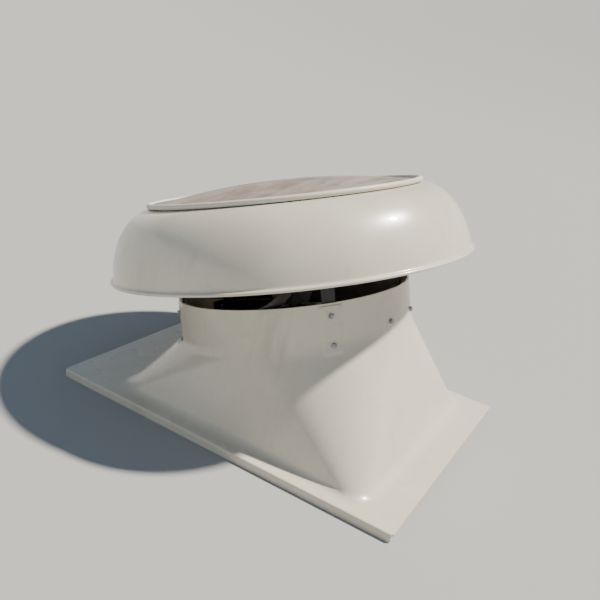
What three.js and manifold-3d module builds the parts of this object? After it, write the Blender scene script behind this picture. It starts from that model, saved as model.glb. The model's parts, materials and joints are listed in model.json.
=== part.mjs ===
// Roof exhaust fan: a glass-fibre base with a square-to-round hopper and a short barrel, an axial impeller
// driven by a motor hung under a frame across the barrel, and a round weather cap on four uprights.
// Millimetres, +Z up and square to the roof, +X down the slope. The barrel leans back towards -X, so that it
// stands upright on a sloped roof.
import * as THREE from 'three';
import { mergeVertices } from 'three/addons/utils/BufferGeometryUtils.js';
import { ConvexGeometry } from 'three/addons/geometries/ConvexGeometry.js';
import Module from 'manifold-3d';

const wasm = await Module();
wasm.setup();

// ---- Driving dimensions ----------------------------------------------------------------------------
const GAP = 0.3;                    // between pieces that touch
const RUNNING_GAP = 0.4;            // between a turning piece and what carries it
const SLOPE_DEG = 19;               // roof slope that the base is made for

// Base moulding
const FLANGE_LENGTH = 1130;         // along the slope
const FLANGE_WIDTH = 950;
const FLANGE_THICKNESS = 5;
const SIDE_LIP_DROP = 25;           // overall height of the turned-down long edges
const FOOT_SIZE = 840;              // outside of the hopper's square foot
const FOOT_OFFSET = 38;             // foot centre, down the slope from the flange's centre
const AXIS_OFFSET = 57;             // where the barrel's axis meets the roof plane
const WALL = 6;                     // hopper and barrel
const BARREL_RADIUS = 370;          // outside
const BARREL_BOTTOM = 268;          // along the axis, from the roof plane
const BARREL_BELOW_BOLTS = 12;      // plain barrel under the lower bolts
const PAD_WIDTH = 68;               // raised pads under the bolt pairs
const PAD_BELOW_RIM = 6;
const PAD_BELOW_BOLTS = 22;         // pad under the lower bolt
const PAD_RISE = 3;

// Weather cap
const CAP_ABOVE_RIM = 80;           // lowest edge of the lip above the barrel's rim
const CAP_OVERHANG = 191;           // wall, just above the lip, beyond the barrel
const CAP_HEIGHT = 211;             // lip's edge to deck
const CAP_WALL = 5;
const CAP_LIP_REACH = 11;           // lip beyond the wall
const CAP_LIP_BAND = 9;
const CAP_WALL_START = 18;          // where the wall's curve begins, above the lip's edge
const CAP_WALL_TAPER = 5;           // of the nearly straight lower half
const CAP_STRAIGHT_HEIGHT = 110;
const CAP_SHOULDER_WIDTH = 136;     // wall to the deck's edge
const CAP_SHOULDER_PULL = 61;       // how far in, and how little below the deck, the shoulder is tightest
const CAP_SHOULDER_DROP = 6;
const DECK_HOLE_INSET = 16;         // deck's opening inside the ring's inner edge
const PANEL_OVERLAP = 7;            // top panel's bead beyond the deck's edge
const PANEL_THICKNESS = 4;
const PANEL_RISE = 45;              // of the dome
const PANEL_BEAD_RADIUS = 8;
const PANEL_EDGE_GAP = 1.5;         // under the bead
const PANEL_SEAT = { inset: 10, width: 6 };  // ring that stands on the deck, in from the bead

// Uprights and the ring they carry
const UPRIGHT_ANGLES_DEG = [ - 45, 45, 135, - 135 ];
const UPRIGHT_NAMES = [ 'front', 'right', 'back', 'left' ];
const UPRIGHT_WIDTH = 40;
const UPRIGHT_THICKNESS = 6;
const UPRIGHT_BOLTS_BELOW_RIM = [ 36, 120 ];
const UPRIGHT_FOOT_BELOW_BOLT = 20;
const RING_LEG = 40;
const RING_THICKNESS = 5;
const CAP_BOLT_ANGLES_DEG = [ 0, 90, 180, 270 ];

// Motor frame
const RAIL_CLEARANCE = 5;           // motor's flange to the rail's upright leg
const RAIL_LEG = 40;
const RAIL_THICKNESS = 4;
const RAIL_TOP_BELOW_RIM = 73;
const TAB_WIDTH = 64;               // of the curved tabs at the rails' ends
const TAB_BOLT_INSET = 16.4;        // bolt in from the rail's upright leg
const RAIL_END_NAMES = [ 'front_right', 'back_right', 'back_left', 'front_left' ];
const MOTOR_PLATE_MARGIN = 10;      // plate beyond the motor's flange
const MOTOR_PLATE_THICKNESS = 8;
const PLATE_HOLE_CLEARANCE = 8;     // about the shaft

// Motor
const HOUSING_LENGTH = 140;
const HOUSING_BORE_RADIUS = 62;
const HOUSING_WALL = 5;
const FIN_COUNT = 24;
const FIN_HEIGHT = 8;
const MOTOR_FLANGE_REACH = 23;      // beyond the bell
const MOTOR_FLANGE_THICKNESS = 12;
const MOTOR_BOLT_ANGLES_DEG = [ 45, 135, 225, 315 ];
const MOTOR_BOLT_INSET = 12;        // from the flange's edge
const DRIVE_END_LENGTH = 27;        // flange and bell
const REAR_END_LENGTH = 20;
const COWL_LENGTH = 52;
const COWL_REACH = 4;               // beyond the bell
const COWL_WALL = 2;
const COWL_CHAMFER = 8;
const COWL_HOLE_COUNT = 8;
const COWL_HOLE_RADIUS = 9;
const SHAFT_RADIUS = 12;
const BEARING_DEPTH = 14;           // inner to outer radius
const BEARING_WIDTH = 14;
const BEARING_SEAT = { drive: 4, rear: 2 };  // in from the faces that meet the housing
const STATOR_LENGTH = 104;
const STATOR_DEPTH = 17;
const AIR_GAP = 0.8;
const COOLING_FAN = { vanes: 6, vaneWidth: 2.4, boss: 7, disc: 3, clearance: 9, end: 12 };
const TERMINAL_BOX = { length: 84, depth: 38, height: 66, wall: 3, lid: 4, belowCore: 20, seatMargin: 4 };

// Impeller
const BLADE_COUNT = 4;
const BLADE_START_DEG = - 78;
const HUB_RADIUS = 70;
const HUB_HEIGHT = 70;
const HUB_WALL = 7;
const HUB_FACE = 14;
const HUB_CHAMFER = 6;
const HUB_BOSS_WALL = 16;
const BLADE_THICKNESS = 5;
const BLADE_CAMBER = 10;
const BLADE_EDGE_SHARE = 0.3;       // of the thickness, left at the edges
const BLADE_ROOT = { chord: 108, pitchDeg: 37 };
const BLADE_TIP = { chord: 168, pitchDeg: 21 };
const BLADE_NUT_CLEARANCE = 5.8;    // to the nuts inside the barrel, and to those on the motor plate

// Fasteners, glands and the motor lead
const M4 = { shank: 2, length: 9, head: 4 };
const M8 = { shank: 4, head: 7.5, headHeight: 5.5, nutHeight: 6.5, washer: 8.5, washerHeight: 1.6, tail: 2 };
const M10 = { shank: 5, head: 9.8, headHeight: 6.5, nutHeight: 8, washer: 20, washerHeight: 3, tail: 0 };
const MOTOR_WASHER = 7.8;
const HOLE_CLEARANCE = 0.5;
const HUB_BOLT_LENGTH = 20;
const LEAD_RADIUS = 4.5;
const GLAND = { thread: 8, body: 11, nut: 12, bodyLength: 16, nutLength: 5, hexLength: 6, clearance: 1.2 };
const WALL_GLAND_DEG = 150;
const CLIP_POSITIONS = [ - 150, - 235 ];
const CLIP = { width: 10, strap: 0.7, leadBelow: 6, screwAbove: 4, tailAbove: 10, standoff: 1.2 };

// Facets
const ROUND = 56;                   // barrel, and ring inside the cap
const CAP_ROUND = 48;
const MOTOR_ROUND = 28;
const FINE_ROUND = 20;

// ---- Derived sizes ---------------------------------------------------------------------------------
const SLOPE = THREE.MathUtils.degToRad( SLOPE_DEG );
const FACET = Math.cos( Math.PI / ROUND );  // a facet's middle lies this share of the radius from the axis
const FINE_FACET = Math.cos( Math.PI / FINE_ROUND );
const FLANGE_TOP = SIDE_LIP_DROP;
const LOWER_BOLT_BELOW_RIM = Math.max( ...UPRIGHT_BOLTS_BELOW_RIM );
const BARREL_TOP = BARREL_BOTTOM + LOWER_BOLT_BELOW_RIM + BARREL_BELOW_BOLTS;
const BARREL_BORE_RADIUS = BARREL_RADIUS - WALL;
const FLAT_OF_BORE = BARREL_BORE_RADIUS * FACET;
const CAP_LIP_HEIGHT = BARREL_TOP + CAP_ABOVE_RIM;
const CAP_WALL_RADIUS = BARREL_RADIUS + CAP_OVERHANG;
const CAP_LIP_RADIUS = CAP_WALL_RADIUS + CAP_LIP_REACH;
const CAP_SHOULDER_RADIUS = CAP_WALL_RADIUS - CAP_SHOULDER_WIDTH;
const CAP_DECK = CAP_LIP_HEIGHT + CAP_HEIGHT;
const RING_TOP = CAP_DECK - CAP_WALL - GAP;
const UPRIGHT_OUTER = Math.sqrt( ( FLAT_OF_BORE - GAP ) ** 2 - ( UPRIGHT_WIDTH / 2 ) ** 2 );
const UPRIGHT_INNER = UPRIGHT_OUTER - UPRIGHT_THICKNESS;
const UPRIGHT_BOTTOM = BARREL_TOP - LOWER_BOLT_BELOW_RIM - UPRIGHT_FOOT_BELOW_BOLT;
const RING_RADIUS = UPRIGHT_INNER - GAP;
const RING_INNER = RING_RADIUS - RING_LEG;
const RING_BOLT_HEIGHT = RING_TOP - ( RING_LEG + RING_THICKNESS ) / 2;
const CAP_BOLT_RADIUS = RING_RADIUS - ( RING_LEG + RING_THICKNESS ) / 2;
const DECK_HOLE_RADIUS = RING_INNER - DECK_HOLE_INSET;
const PANEL_RADIUS = CAP_SHOULDER_RADIUS + PANEL_OVERLAP;
const BELL_RADIUS = HOUSING_BORE_RADIUS + HOUSING_WALL;
const MOTOR_FLANGE_RADIUS = BELL_RADIUS + MOTOR_FLANGE_REACH;
const MOTOR_BOLT_CIRCLE_RADIUS = MOTOR_FLANGE_RADIUS - MOTOR_BOLT_INSET;
const RAIL_HALF_SPACING = MOTOR_FLANGE_RADIUS + RAIL_CLEARANCE;
const RAIL_TOP = BARREL_TOP - RAIL_TOP_BELOW_RIM;
const RAIL_BOLT_HEIGHT = RAIL_TOP - RAIL_LEG / 2;
const TAB_OUTER = FLAT_OF_BORE - GAP;
const TAB_BOLT_SINE = ( RAIL_HALF_SPACING - TAB_BOLT_INSET ) / TAB_OUTER;
const RAIL_BOLT_DEG = THREE.MathUtils.radToDeg( Math.asin( TAB_BOLT_SINE ) );
const RAIL_BOLT_ANGLES_DEG = [ - RAIL_BOLT_DEG, RAIL_BOLT_DEG, 180 - RAIL_BOLT_DEG, RAIL_BOLT_DEG - 180 ];
const PLATE_TOP = RAIL_TOP + MOTOR_PLATE_THICKNESS;
const MOTOR_TOP = RAIL_TOP - GAP;
const HOUSING_TOP = MOTOR_TOP - DRIVE_END_LENGTH - GAP;
const HOUSING_BOTTOM = HOUSING_TOP - HOUSING_LENGTH;
const CORE_MIDDLE = HOUSING_TOP - HOUSING_LENGTH / 2;
const CORE = { bottom: CORE_MIDDLE - STATOR_LENGTH / 2, top: CORE_MIDDLE + STATOR_LENGTH / 2 };
const REAR_TOP = HOUSING_BOTTOM - GAP;
const REAR_BOTTOM = REAR_TOP - REAR_END_LENGTH;
const COWL_TOP = REAR_BOTTOM - GAP;
const COWL_BOTTOM = COWL_TOP - COWL_LENGTH;
const COWL_RADIUS = BELL_RADIUS + COWL_REACH;
const BEARING_RADIUS = SHAFT_RADIUS + BEARING_DEPTH;
const STATOR_BORE_RADIUS = HOUSING_BORE_RADIUS - STATOR_DEPTH;
const ROOT_PITCH = THREE.MathUtils.degToRad( BLADE_ROOT.pitchDeg );
const BLADE_ROOT_DEPTH = BLADE_ROOT.chord / 2 * Math.sin( ROOT_PITCH )
	+ ( BLADE_CAMBER + BLADE_EDGE_SHARE * BLADE_THICKNESS ) / 2 * Math.cos( ROOT_PITCH );
const HUB_MIDDLE = PLATE_TOP + GAP + M8.nutHeight + BLADE_NUT_CLEARANCE + BLADE_ROOT_DEPTH;
const HUB_BOTTOM = HUB_MIDDLE - HUB_HEIGHT / 2;
const HUB_TOP = HUB_MIDDLE + HUB_HEIGHT / 2;
const BLADE_TIP_RADIUS = UPRIGHT_INNER - GAP - M8.nutHeight - M8.tail - BLADE_NUT_CLEARANCE;
const SHAFT_TOP = HUB_TOP - 2;
const SHAFT_HOLE = SHAFT_RADIUS + RUNNING_GAP;
const SHAFT_BORE = SHAFT_RADIUS / FINE_FACET + GAP;
const WALL_GLAND_HEIGHT = RAIL_BOLT_HEIGHT;
const CLIP_HEIGHT = RAIL_TOP - RAIL_LEG / 2;

// Reach of the cap towards -X sets one end of the whole object, the flange's end sets the other.
const CAP_REACH = AXIS_OFFSET - CAP_LIP_HEIGHT * Math.sin( SLOPE ) - CAP_LIP_RADIUS * Math.cos( SLOPE );
const ORIGIN_SHIFT = - ( CAP_REACH + FLANGE_LENGTH / 2 ) / 2;

// ---- Materials -------------------------------------------------------------------------------------
const finish = ( color, roughness, metalness ) =>
	new THREE.MeshStandardMaterial( { color, roughness, metalness } );
const MATERIALS = {
	gelcoat: finish( 0xe9e4d6, 0.25, 0 ),
	weatheredGelcoat: finish( 0xc9b8aa, 0.5, 0 ),
	blackSteel: finish( 0x1c1d1e, 0.5, 0.6 ),
	zinc: finish( 0xa9abac, 0.4, 0.9 ),
	motorPaint: finish( 0x3d4a55, 0.45, 0.2 ),
	castAluminium: finish( 0x8e9194, 0.5, 0.8 ),
	copper: finish( 0x9a5a33, 0.4, 0.8 ),
	steel: finish( 0x8a8c8e, 0.3, 1 ),
	blackPlastic: finish( 0x161616, 0.5, 0 ),
	rubber: finish( 0x101010, 0.8, 0 )
};

// ---- Solids ----------------------------------------------------------------------------------------
// A closed geometry as a solid: its corners are merged, flat slivers dropped and its faces turned outwards.
function toSolid( geometry ) {

	const bare = new THREE.BufferGeometry();
	const corners = geometry.index ? geometry.toNonIndexed() : geometry;
	bare.setAttribute( 'position', corners.getAttribute( 'position' ).clone() );
	const merged = mergeVertices( bare, 1e-3 );
	const position = merged.getAttribute( 'position' );
	const index = merged.index.array;
	const triangles = [];
	const [ a, b, c ] = [ new THREE.Vector3(), new THREE.Vector3(), new THREE.Vector3() ];
	let volume = 0;
	for ( let i = 0; i < index.length; i += 3 ) {

		const [ p, q, r ] = [ index[ i ], index[ i + 1 ], index[ i + 2 ] ];
		if ( p === q || q === r || r === p ) continue;
		triangles.push( p, q, r );
		a.fromBufferAttribute( position, p );
		b.fromBufferAttribute( position, q );
		c.fromBufferAttribute( position, r );
		volume += a.dot( b.cross( c ) );

	}
	if ( volume < 0 ) triangles.reverse();
	return new wasm.Manifold( new wasm.Mesh( {
		numProp: 3,
		vertProperties: new Float32Array( position.array ),
		triVerts: new Uint32Array( triangles )
	} ) );

}

function toGeometry( solid ) {

	const mesh = solid.getMesh();
	const geometry = new THREE.BufferGeometry();
	geometry.setAttribute( 'position', new THREE.BufferAttribute( mesh.vertProperties, 3 ) );
	geometry.setIndex( new THREE.BufferAttribute( mesh.triVerts, 1 ) );
	geometry.computeVertexNormals();
	return geometry;

}

const join = ( ...geometries ) => geometries.map( toSolid ).reduce( ( all, next ) => all.add( next ) );
const cut = ( solid, ...geometries ) =>
	geometries.map( toSolid ).reduce( ( left, next ) => left.subtract( next ), solid );

// A turned piece about +Z, from a profile of [radius, height] corners.
function turned( profile, facets = ROUND ) {

	const points = profile.map( ( [ radius, height ] ) => new THREE.Vector2( radius, height ) );
	points.push( points[ 0 ].clone() );
	return new THREE.LatheGeometry( points, facets ).rotateX( Math.PI / 2 );

}

// A round bar or a disc along +Z, between two heights.
function rod( radius, bottom, top, facets = FINE_ROUND ) {

	const bar = new THREE.CylinderGeometry( radius, radius, top - bottom, facets );
	return bar.rotateX( Math.PI / 2 ).translate( 0, 0, ( top + bottom ) / 2 );

}

const ring = ( inner, outer, bottom, top, facets = FINE_ROUND ) =>
	turned( [ [ inner, bottom ], [ outer, bottom ], [ outer, top ], [ inner, top ] ], facets );

function box( [ x0, x1 ], [ y0, y1 ], [ z0, z1 ] ) {

	const block = new THREE.BoxGeometry( x1 - x0, y1 - y0, z1 - z0 );
	return block.translate( ( x0 + x1 ) / 2, ( y0 + y1 ) / 2, ( z0 + z1 ) / 2 );

}

// A curved plate: a stretch of a ring about +Z, centred on an angle.
function sector( inner, outer, middleDeg, halfDeg, bottom, top ) {

	const start = THREE.MathUtils.degToRad( middleDeg - halfDeg );
	const end = THREE.MathUtils.degToRad( middleDeg + halfDeg );
	const shape = new THREE.Shape();
	shape.absarc( 0, 0, outer, start, end, false );
	shape.absarc( 0, 0, inner, end, start, true );
	const options = { depth: top - bottom, bevelEnabled: false, curveSegments: 6 };
	return new THREE.ExtrudeGeometry( shape, options ).translate( 0, 0, bottom );

}

// Turns a piece that lies along +Z at the origin so that +Z points out from the axis, and places its origin.
function outward( geometry, angleDeg, radius, height ) {

	const angle = THREE.MathUtils.degToRad( angleDeg );
	geometry.rotateY( Math.PI / 2 ).rotateZ( angle );
	return geometry.translate( radius * Math.cos( angle ), radius * Math.sin( angle ), height );

}

// Bolt, washer and nut as fitted: the washer's seat is at 0, the head above it and the nut below the grip.
function fastener( size, grip, withNut = true ) {

	const top = size.washerHeight;
	const end = withNut ? - grip - size.nutHeight - size.tail : - grip;
	const pieces = [
		rod( size.washer, 0, top, 12 ),
		rod( size.head, top - 0.1, top + size.headHeight, 6 ),
		rod( size.shank, end, top, 8 )
	];
	if ( withNut ) pieces.push( rod( size.head, - grip - size.nutHeight, - grip, 6 ) );
	return toGeometry( join( ...pieces ) );

}

const tilt = new THREE.Matrix4().makeRotationY( - SLOPE ).setPosition( AXIS_OFFSET, 0, 0 );
const tilted = ( geometry ) => geometry.applyMatrix4( tilt );

// ---- Assembly --------------------------------------------------------------------------------------
const ventilator = new THREE.Group();
ventilator.position.x = ORIGIN_SHIFT;
const barrelFrame = new THREE.Group();
barrelFrame.position.x = AXIS_OFFSET;
barrelFrame.rotation.y = - SLOPE;
ventilator.add( barrelFrame );

function add( name, geometry, material, parent = barrelFrame ) {

	const mesh = new THREE.Mesh( geometry, material );
	mesh.name = name;
	parent.add( mesh );
	return mesh;

}

// ---- Base moulding ---------------------------------------------------------------------------------
// The hopper is the convex skin of its square foot and the barrel's leaning lower circle.
function hopper( inset, footBottom ) {

	const half = FOOT_SIZE / 2 - inset;
	const points = [];
	for ( const sx of [ - 1, 1 ] ) {

		for ( const sy of [ - 1, 1 ] ) {

			points.push( new THREE.Vector3( FOOT_OFFSET + sx * half, sy * half, footBottom ) );
			points.push( new THREE.Vector3( FOOT_OFFSET + sx * half, sy * half, FLANGE_TOP ) );

		}

	}
	for ( let i = 0; i < ROUND; i ++ ) {

		const angle = 2 * Math.PI * i / ROUND;
		const rim = new THREE.Vector3( Math.sin( angle ), Math.cos( angle ), 0 );
		rim.multiplyScalar( BARREL_RADIUS - inset ).setZ( BARREL_BOTTOM );
		points.push( rim.applyMatrix4( tilt ) );

	}
	return new ConvexGeometry( points );

}

function baseMoulding() {

	const [ halfLength, halfWidth ] = [ FLANGE_LENGTH / 2, FLANGE_WIDTH / 2 ];
	const along = [ - halfLength, halfLength ];
	const flange = box( along, [ - halfWidth, halfWidth ], [ FLANGE_TOP - FLANGE_THICKNESS, FLANGE_TOP ] );
	const lips = [ - 1, 1 ].map( ( side ) => {

		const edges = [ side * halfWidth, side * ( halfWidth - FLANGE_THICKNESS ) ].sort( ( a, b ) => a - b );
		return box( along, edges, [ 0, FLANGE_TOP - 1 ] );

	} );
	const barrel = rod( BARREL_RADIUS, BARREL_BOTTOM - 1, BARREL_TOP, ROUND );
	const padHalf = THREE.MathUtils.radToDeg( PAD_WIDTH / 2 / BARREL_RADIUS );
	const padTop = BARREL_TOP - PAD_BELOW_RIM;
	const padBottom = BARREL_TOP - LOWER_BOLT_BELOW_RIM - PAD_BELOW_BOLTS;
	const pads = UPRIGHT_ANGLES_DEG.map( ( angle ) => sector(
		BARREL_RADIUS - WALL / 2, BARREL_RADIUS + PAD_RISE, angle, padHalf, padBottom, padTop ) );
	const skirt = hopper( 0, FLANGE_TOP - FLANGE_THICKNESS );
	const outside = join( flange, ...lips, skirt, tilted( barrel ), ...pads.map( tilted ) );
	const bore = tilted( rod( BARREL_BORE_RADIUS, BARREL_BOTTOM - 1, BARREL_TOP + 1, ROUND ) );
	const holes = [];
	const hole = ( angle, height, radius ) => holes.push( tilted( outward(
		rod( radius / Math.cos( Math.PI / 8 ), - 2 * WALL, 2 * WALL, 8 ), angle, BARREL_RADIUS, height ) ) );
	for ( const angle of UPRIGHT_ANGLES_DEG ) {

		for ( const below of UPRIGHT_BOLTS_BELOW_RIM ) hole( angle, BARREL_TOP - below, M8.shank + HOLE_CLEARANCE );

	}
	for ( const angle of RAIL_BOLT_ANGLES_DEG ) hole( angle, RAIL_BOLT_HEIGHT, M8.shank + HOLE_CLEARANCE );
	hole( WALL_GLAND_DEG, WALL_GLAND_HEIGHT, GLAND.thread + HOLE_CLEARANCE );
	return cut( outside, hopper( WALL, FLANGE_TOP - FLANGE_THICKNESS - 1 ), bore, ...holes );

}

add( 'base_moulding', toGeometry( baseMoulding() ), MATERIALS.gelcoat, ventilator );

// ---- Weather cap -----------------------------------------------------------------------------------
// The wall tapers in from the lip and turns over a round shoulder into the flat deck.
function capProfile( inset, facets ) {

	const wall = CAP_WALL_RADIUS - inset;
	const deck = CAP_HEIGHT - inset;
	const curve = new THREE.CubicBezierCurve(
		new THREE.Vector2( wall, CAP_WALL_START ),
		new THREE.Vector2( wall - CAP_WALL_TAPER, CAP_STRAIGHT_HEIGHT ),
		new THREE.Vector2( wall - CAP_SHOULDER_PULL, deck - CAP_SHOULDER_DROP ),
		new THREE.Vector2( CAP_SHOULDER_RADIUS - inset / 2, deck )
	);
	return curve.getPoints( facets ).map( ( point ) => [ point.x, CAP_LIP_HEIGHT + point.y ] );

}

const capShell = toSolid( turned( [
	[ CAP_WALL_RADIUS - 1, CAP_LIP_HEIGHT ],
	[ CAP_LIP_RADIUS, CAP_LIP_HEIGHT ],
	[ CAP_LIP_RADIUS, CAP_LIP_HEIGHT + CAP_LIP_BAND ],
	...capProfile( 0, 7 ),
	[ DECK_HOLE_RADIUS, CAP_DECK ],
	[ DECK_HOLE_RADIUS, CAP_DECK - CAP_WALL ],
	...capProfile( CAP_WALL, 5 ).reverse()
], CAP_ROUND ) );
const aroundAxis = ( geometry, angleDeg, radius ) =>
	geometry.translate( radius, 0, 0 ).rotateZ( THREE.MathUtils.degToRad( angleDeg ) );
const capHole = ( angle ) => aroundAxis(
	rod( M8.shank + HOLE_CLEARANCE, RING_TOP - 2 * RING_THICKNESS, CAP_DECK + 1, 8 ), angle, CAP_BOLT_RADIUS );
add( 'cap_shell', toGeometry( cut( capShell, ...CAP_BOLT_ANGLES_DEG.map( capHole ) ) ), MATERIALS.gelcoat );

// The top panel is a shallow dome with a round bead at its edge, and stands on the deck on a ring of its own.
function topPanel() {

	const beadMiddle = [ PANEL_RADIUS - PANEL_BEAD_RADIUS, CAP_DECK + PANEL_EDGE_GAP + PANEL_BEAD_RADIUS ];
	const domeEdge = beadMiddle[ 0 ] - PANEL_BEAD_RADIUS;
	const domeBase = beadMiddle[ 1 ] - PANEL_BEAD_RADIUS / 2;
	const dome = ( radius ) => domeBase + PANEL_RISE * ( 1 - ( radius / domeEdge ) ** 2 );
	const steps = [ 1, 0.8, 0.55, 0.28 ].map( ( share ) => share * domeEdge );
	const seat = { outer: domeEdge - PANEL_SEAT.inset, inner: domeEdge - PANEL_SEAT.inset - PANEL_SEAT.width };
	const above = [ ...steps.map( ( radius ) => [ radius, dome( radius ) ] ), [ 0, dome( 0 ) ] ];
	const below = [
		[ 0, dome( 0 ) - PANEL_THICKNESS ],
		...steps.slice( 1 ).reverse().map( ( radius ) => [ radius, dome( radius ) - PANEL_THICKNESS ] ),
		[ seat.inner, dome( seat.inner ) - PANEL_THICKNESS ],
		[ seat.inner, CAP_DECK + GAP ],
		[ seat.outer, CAP_DECK + GAP ],
		[ seat.outer, domeBase - 1 ]
	];
	const bead = [];
	for ( let i = 0; i <= 6; i ++ ) {

		const angle = Math.PI * ( - 0.85 + i * 1.75 / 6 );
		bead.push( [
			beadMiddle[ 0 ] + PANEL_BEAD_RADIUS * Math.cos( angle ),
			beadMiddle[ 1 ] + PANEL_BEAD_RADIUS * Math.sin( angle )
		] );

	}
	return turned( [ ...below, ...bead, ...above ].slice( 0, - 1 ), CAP_ROUND );

}

add( 'top_panel', topPanel(), MATERIALS.weatheredGelcoat );

// ---- Ring, uprights and their fasteners ------------------------------------------------------------
const capRing = toSolid( turned( [
	[ RING_RADIUS - RING_THICKNESS, RING_TOP - RING_LEG ],
	[ RING_RADIUS, RING_TOP - RING_LEG ],
	[ RING_RADIUS, RING_TOP ],
	[ RING_INNER, RING_TOP ],
	[ RING_INNER, RING_TOP - RING_THICKNESS ],
	[ RING_RADIUS - RING_THICKNESS, RING_TOP - RING_THICKNESS ]
] ) );
const radialHole = ( angle, radius, height ) => outward(
	rod( M8.shank + HOLE_CLEARANCE, - 2 * UPRIGHT_THICKNESS, 2 * UPRIGHT_THICKNESS, 8 ), angle, radius, height );
add( 'cap_ring', toGeometry( cut(
	capRing,
	...CAP_BOLT_ANGLES_DEG.map( capHole ),
	...UPRIGHT_ANGLES_DEG.map( ( angle ) => radialHole( angle, RING_RADIUS, RING_BOLT_HEIGHT ) )
) ), MATERIALS.blackSteel );

UPRIGHT_ANGLES_DEG.forEach( ( angle, i ) => {

	const halfWidth = UPRIGHT_WIDTH / 2;
	const ends = [ UPRIGHT_BOTTOM, RING_TOP - GAP ];
	const bar = box( [ UPRIGHT_INNER, UPRIGHT_OUTER ], [ - halfWidth, halfWidth ], ends );
	bar.rotateZ( THREE.MathUtils.degToRad( angle ) );
	const boltHeights = UPRIGHT_BOLTS_BELOW_RIM.map( ( below ) => BARREL_TOP - below );
	const holes = [ ...boltHeights, RING_BOLT_HEIGHT ].map(
		( height ) => radialHole( angle, UPRIGHT_OUTER, height ) );
	const upright = toGeometry( cut( toSolid( bar ), ...holes ) );
	add( `upright_${ UPRIGHT_NAMES[ i ] }`, upright, MATERIALS.blackSteel );
	boltHeights.forEach( ( height, row ) => {

		const seat = BARREL_RADIUS + PAD_RISE + GAP;
		const bolt = outward( fastener( M8, seat - UPRIGHT_INNER + GAP ), angle, seat, height );
		add( `upright_bolt_${ UPRIGHT_NAMES[ i ] }_${ row ? 'lower' : 'upper' }`, bolt, MATERIALS.zinc );

	} );
	const seat = UPRIGHT_OUTER + GAP;
	const ringInner = ( RING_RADIUS - RING_THICKNESS ) * FACET;
	const ringBolt = outward( fastener( M8, seat - ringInner + GAP ), angle, seat, RING_BOLT_HEIGHT );
	add( `ring_bolt_${ UPRIGHT_NAMES[ i ] }`, ringBolt, MATERIALS.zinc );

} );
CAP_BOLT_ANGLES_DEG.forEach( ( angle, i ) => {

	const bolt = fastener( M8, CAP_WALL + RING_THICKNESS + 3 * GAP ).translate( 0, 0, CAP_DECK + GAP );
	add( `cap_bolt_${ i + 1 }`, aroundAxis( bolt, angle, CAP_BOLT_RADIUS ), MATERIALS.zinc );

} );

// ---- Motor frame -----------------------------------------------------------------------------------
// Two angle rails across the barrel with curved tabs at their ends, welded to the plate that holds the motor.
function motorFrame() {

	const reach = TAB_OUTER - RAIL_THICKNESS / 2;
	const pieces = [];
	for ( const side of [ - 1, 1 ] ) {

		const across = ( near, far ) => [ side * near, side * far ].sort( ( a, b ) => a - b );
		const [ inner, leg, along ] = [ RAIL_HALF_SPACING, RAIL_LEG, [ - reach, reach ] ];
		const flatLeg = [ RAIL_TOP - RAIL_THICKNESS, RAIL_TOP ];
		pieces.push( box( along, across( inner, inner + leg ), flatLeg ) );
		pieces.push( box( along, across( inner, inner + RAIL_THICKNESS ), [ RAIL_TOP - leg, RAIL_TOP - 1 ] ) );

	}
	const insideBarrel = rod( reach, RAIL_TOP - 2 * RAIL_LEG, PLATE_TOP, ROUND );
	const rails = join( ...pieces ).intersect( toSolid( insideBarrel ) );
	const tabHalf = THREE.MathUtils.radToDeg( TAB_WIDTH / 2 / TAB_OUTER );
	const tabs = RAIL_BOLT_ANGLES_DEG.map( ( angle ) => sector(
		TAB_OUTER - RAIL_THICKNESS, TAB_OUTER, angle, tabHalf, RAIL_TOP - RAIL_LEG, RAIL_TOP ) );
	const halfLength = MOTOR_FLANGE_RADIUS + MOTOR_PLATE_MARGIN;
	const halfWidth = RAIL_HALF_SPACING + RAIL_LEG;
	const plate = box( [ - halfLength, halfLength ], [ - halfWidth, halfWidth ], [ RAIL_TOP - 0.5, PLATE_TOP ] );
	const motorSeat = box(
		[ - 2 * halfLength, 2 * halfLength ],
		[ - RAIL_HALF_SPACING, RAIL_HALF_SPACING ],
		[ RAIL_TOP - 1, RAIL_TOP ] );
	const shaftHole = rod( SHAFT_RADIUS + PLATE_HOLE_CLEARANCE, RAIL_TOP - 2, PLATE_TOP + 1 );
	const bolts = MOTOR_BOLT_ANGLES_DEG.map( ( angle ) => aroundAxis(
		rod( M8.shank + HOLE_CLEARANCE, RAIL_TOP - 2, PLATE_TOP + 1, 8 ), angle, MOTOR_BOLT_CIRCLE_RADIUS ) );
	const tabHoles = RAIL_BOLT_ANGLES_DEG.map( ( angle ) => radialHole( angle, TAB_OUTER, RAIL_BOLT_HEIGHT ) );
	const clipHoles = CLIP_POSITIONS.map( ( x ) => clipScrew( M4.shank + HOLE_CLEARANCE ).translate( x, 0, 0 ) );
	const welded = tabs.map( toSolid ).reduce( ( all, next ) => all.add( next ), rails ).add( toSolid( plate ) );
	return cut( welded, motorSeat, shaftHole, ...bolts, ...tabHoles, ...clipHoles );

}

const clipScrew = ( radius ) => rod( radius, - 2 * RAIL_THICKNESS, 2 * RAIL_THICKNESS, 10 )
	.rotateX( Math.PI / 2 ).translate( 0, RAIL_HALF_SPACING + RAIL_THICKNESS / 2, CLIP_HEIGHT + CLIP.screwAbove );
add( 'motor_frame', toGeometry( motorFrame() ), MATERIALS.blackSteel );

RAIL_BOLT_ANGLES_DEG.forEach( ( angle, i ) => {

	const seat = BARREL_RADIUS + GAP;
	const grip = seat - ( TAB_OUTER - RAIL_THICKNESS ) + GAP;
	const bolt = outward( fastener( M8, grip ), angle, seat, RAIL_BOLT_HEIGHT );
	add( `rail_bolt_${ RAIL_END_NAMES[ i ] }`, bolt, MATERIALS.zinc );

} );

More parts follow.
